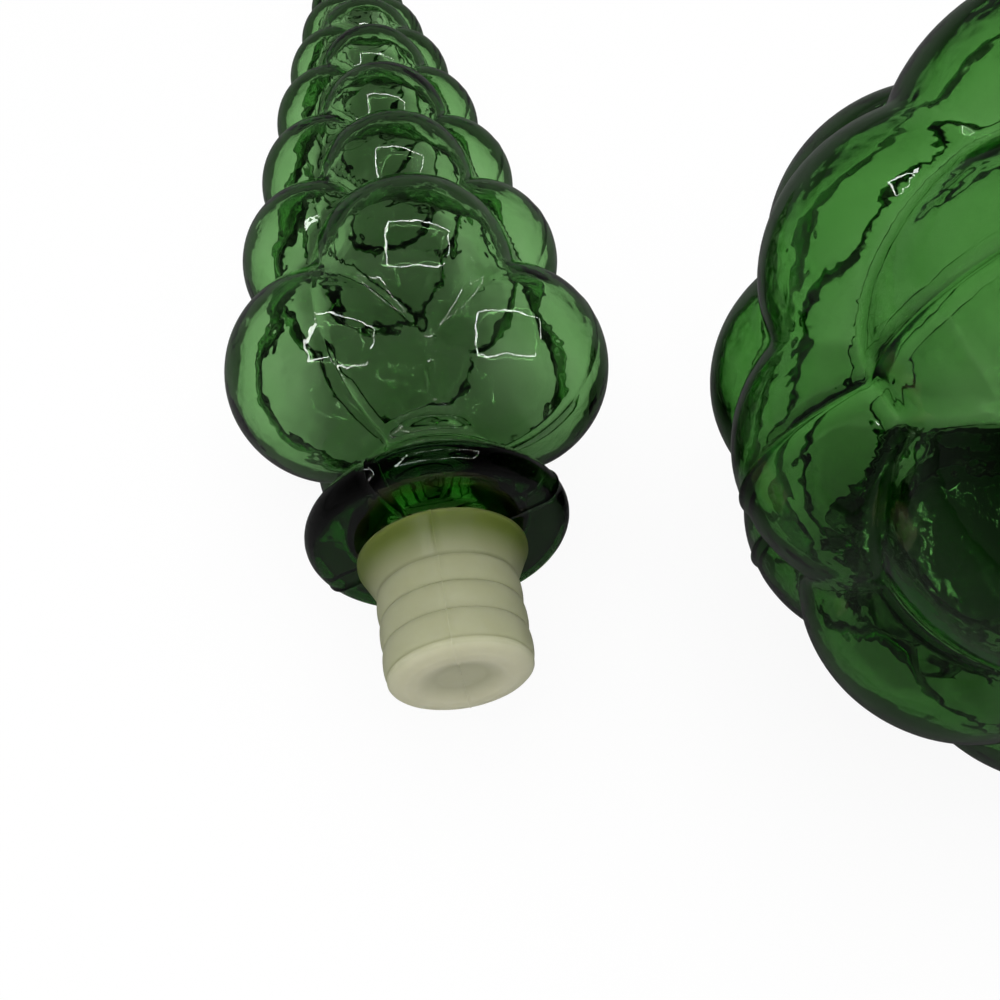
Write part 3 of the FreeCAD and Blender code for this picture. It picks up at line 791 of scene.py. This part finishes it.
bung_side(row_of((groove, -BUNG_SKIRT_LENGTH), (BUNG_FLANGE_RADIUS, 0), 10))
bung_side(row_of((BUNG_FLANGE_RADIUS, 0), (BUNG_FLANGE_RADIUS, BUNG_FLANGE_THICKNESS), 2))
bung_side(row_of((BUNG_FLANGE_RADIUS, BUNG_FLANGE_THICKNESS), (bore, BUNG_FLANGE_THICKNESS), 6))
bung_side(row_of((bore, BUNG_FLANGE_THICKNESS), (bore, bore_end), 10))
bung_side(row_of((bore, bore_end), (0, bore_end), 5))

# %% Mould the bung
no_bubbles = bpy.data.objects.new("no_bubbles", bpy.data.meshes.new("no_bubbles"))
bpy.context.scene.collection.objects.link(no_bubbles)
bung = make_skin(bung_profile.build("plastic_bung_skin"), "plastic_bung_moulded", lying,
                 Bubbles=no_bubbles, Columns=192, Seam_Angle=math.radians(BUNG_SEAM),
                 Seam_Count=2, Wave_Size=7 * MM, Seed=5.0, Material=poly)
bpy.data.objects.remove(no_bubbles)

# %% [markdown]
# ## Say what each piece is
# The blown skins replace the plain solids, and ride on the one body.

# %% Ride, replace and print each piece's finish
for piece, node, finish in ((bottle, "glass_bottle", "green_glass"),
                            (stopper, "glass_stopper", "green_glass"),
                            (bung, "plastic_bung", "ivory_plastic")):
    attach(piece, "root")
    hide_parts(node)
    print(piece.name, "stands for", node, "and is", finish)

# %% [markdown]
# ## Floor
# The pieces stand on matt white paper. A plain diffuse floor would take on the grey of its own shade, so
# most of what the camera sees is an even white, and the rest is lit paper, which keeps the soft shadow.
# Green glass looks rich when part of what it bends is dark. So the paper is darker to rays that glass
# mirrors, and to rays through one solid lump of glass, such as the flange, and a little brighter in the
# shade under two walls. Only the stage knows this: the glass itself stays plain.

# %% Floor
FLOOR_SIZE = 6
FLOOR_PALE, FLOOR_DARK = 0.92, 0.12
EVEN_WHITE_SHARE = 0.93
GLOW_UNDER_GLASS = 0.45
GLOW_UNDER_GLASS_SHARE = 0.22
ONE_LUMP = 2.5  # a ray is bent twice by one lump of glass, and four times by a hollow piece
bpy.ops.mesh.primitive_plane_add(size=FLOOR_SIZE, location=(0, 0, 0))
floor = bpy.context.object
floor.name = "floor"
paper = bpy.data.materials.new("matt_white_paper")
paper.use_nodes = True
paper_tree = paper.node_tree
paper_tree.nodes.clear()


def paper_math(operation, *values):
    return add_node(paper_tree, "ShaderNodeMath", dict(enumerate(values)), operation=operation)


paths = add_node(paper_tree, "ShaderNodeLightPath").outputs
through = paths["Is Transmission Ray"]
one_lump = paper_math("MULTIPLY", paper_math("LESS_THAN", paths["Transmission Depth"], ONE_LUMP), through)
mirrored = paper_math("GREATER_THAN", paths["Is Glossy Ray"], through)
tone = add_node(paper_tree, "ShaderNodeMapRange",
                {0: paper_math("MAXIMUM", one_lump, mirrored), 3: FLOOR_PALE, 4: FLOOR_DARK})
lit = add_node(paper_tree, "ShaderNodeBsdfDiffuse", {"Color": tone})
strength = add_node(paper_tree, "ShaderNodeMapRange",
                    {0: paths["Is Camera Ray"], 3: GLOW_UNDER_GLASS, 4: 1.0})
glow = add_node(paper_tree, "ShaderNodeEmission", {"Color": (1, 1, 1, 1), "Strength": strength})
hollow_share = paper_math("MULTIPLY", paper_math("SUBTRACT", through, one_lump), GLOW_UNDER_GLASS_SHARE)
share = paper_math("MULTIPLY_ADD", paths["Is Camera Ray"], EVEN_WHITE_SHARE, hollow_share)
add_node(paper_tree, "ShaderNodeOutputMaterial",
         {"Surface": add_node(paper_tree, "ShaderNodeMixShader", {0: share, 1: lit, 2: glow})})
floor.data.materials.append(paper)
print("the floor is", FLOOR_SIZE, "metres across")

# %% [markdown]
# ## Walls of the light tent
# The tent's walls are pale low down and darker overhead. The camera would see plain white where the floor
# ends. Glass mirrors only a faint trace of the walls, so that its own colour is not washed out.

# %% Walls of the light tent
WALL_LIGHT_LOW, WALL_LIGHT_HIGH = 0.8, 0.15
LOW_AND_HIGH = (0.05, 0.6)  # upward parts of a ray's direction
MIRRORED_SHARE = 0.12
world = bpy.data.worlds.new("light_tent")
bpy.context.scene.world = world
world.use_nodes = True
world_tree = world.node_tree
world_tree.nodes.clear()
world_paths = add_node(world_tree, "ShaderNodeLightPath").outputs
ray_up = add_node(world_tree, "ShaderNodeSeparateXYZ",
                  {0: add_node(world_tree, "ShaderNodeTexCoord").outputs["Generated"]}).outputs["Z"]
wall_light = add_node(world_tree, "ShaderNodeMapRange",
                      {0: ray_up, 1: LOW_AND_HIGH[0], 2: LOW_AND_HIGH[1],
                       3: WALL_LIGHT_LOW, 4: WALL_LIGHT_HIGH})
kept = add_node(world_tree, "ShaderNodeMapRange",
                {0: world_paths["Is Glossy Ray"], 3: 1.0, 4: MIRRORED_SHARE})
wall_tone = add_node(world_tree, "ShaderNodeMath", {0: wall_light, 1: kept}, operation="MULTIPLY")
room = add_node(world_tree, "ShaderNodeBackground", {"Color": (1, 1, 1, 1), "Strength": wall_tone})
plain_white = add_node(world_tree, "ShaderNodeBackground", {"Color": (1, 1, 1, 1), "Strength": 1.0})
add_node(world_tree, "ShaderNodeOutputWorld",
         {"Surface": add_node(world_tree, "ShaderNodeMixShader",
                              {0: world_paths["Is Camera Ray"], 1: room, 2: plain_white})})
print("wall light from", WALL_LIGHT_LOW, "to", WALL_LIGHT_HIGH)

# %% [markdown]
# ## Lights
# A rectangle of four thin light bars hangs overhead, and the camera looks down through it. Each bubble
# mirrors the bars as a fine bright outline. They are too thin to light the scene, so a large soft lamp
# does that from above. It is hidden from mirrored and bent rays, because its plain square would cover the
# bubbles' own shapes.

# %% Light bars
BARS_CENTRE = Vector((-0.06, 0.045, 0.42))
BARS_ACROSS = (0.43, 0.33)
BAR_WIDTH = 0.009
BAR_RADIANCE = 16.0


def area_lamp(name, place, size, watts):
    lamp = bpy.data.lights.new(name, "AREA")
    lamp.shape = "RECTANGLE"
    lamp.size, lamp.size_y = size
    lamp.energy = watts
    holder = bpy.data.objects.new(name, lamp)
    holder.location = place
    bpy.context.scene.collection.objects.link(holder)
    print(name, "gives", round(watts, 2), "watts")
    return holder


def light_bar(name, offset, size):
    area_lamp(name, BARS_CENTRE + Vector(offset), size, BAR_RADIANCE * math.pi * size[0] * size[1])


for side in (-1, 1):
    light_bar("bar_along", (0, side * BARS_ACROSS[1] / 2, 0), (BARS_ACROSS[0], BAR_WIDTH))
    light_bar("bar_across", (side * BARS_ACROSS[0] / 2, 0, 0), (BAR_WIDTH, BARS_ACROSS[1]))

# %% Soft lamp
SOFT_LAMP_SIZE = (1.2, 1.2)
SOFT_LAMP_PLACE = (-0.1, 0.0, 1.3)
SOFT_LAMP_WATTS = 14.5
soft_lamp = area_lamp("soft_overhead", SOFT_LAMP_PLACE, SOFT_LAMP_SIZE, SOFT_LAMP_WATTS)
soft_lamp.visible_glossy = False
soft_lamp.visible_transmission = False

# %% [markdown]
# ## Camera
# The camera stands close above the stopper and looks steeply down, so only a part of the bottle is in
# view.

# %% Camera
CAMERA_PITCH = 63.6
CAMERA_PLACE = (-0.1095, -0.0927, 0.2305)
SENSOR_WIDTH, LENS = 36, 35.3  # in millimetres
camera_data = bpy.data.cameras.new("camera")
camera_data.sensor_width = SENSOR_WIDTH
camera_data.lens = LENS
camera_data.clip_start = 0.005
camera = bpy.data.objects.new("camera", camera_data)
camera.location = CAMERA_PLACE
camera.rotation_euler = (math.radians(90 - CAMERA_PITCH), 0, 0)
bpy.context.scene.collection.objects.link(camera)
bpy.context.scene.camera = camera
bpy.context.scene.view_settings.view_transform = "Standard"
print("camera at", tuple(camera.location))
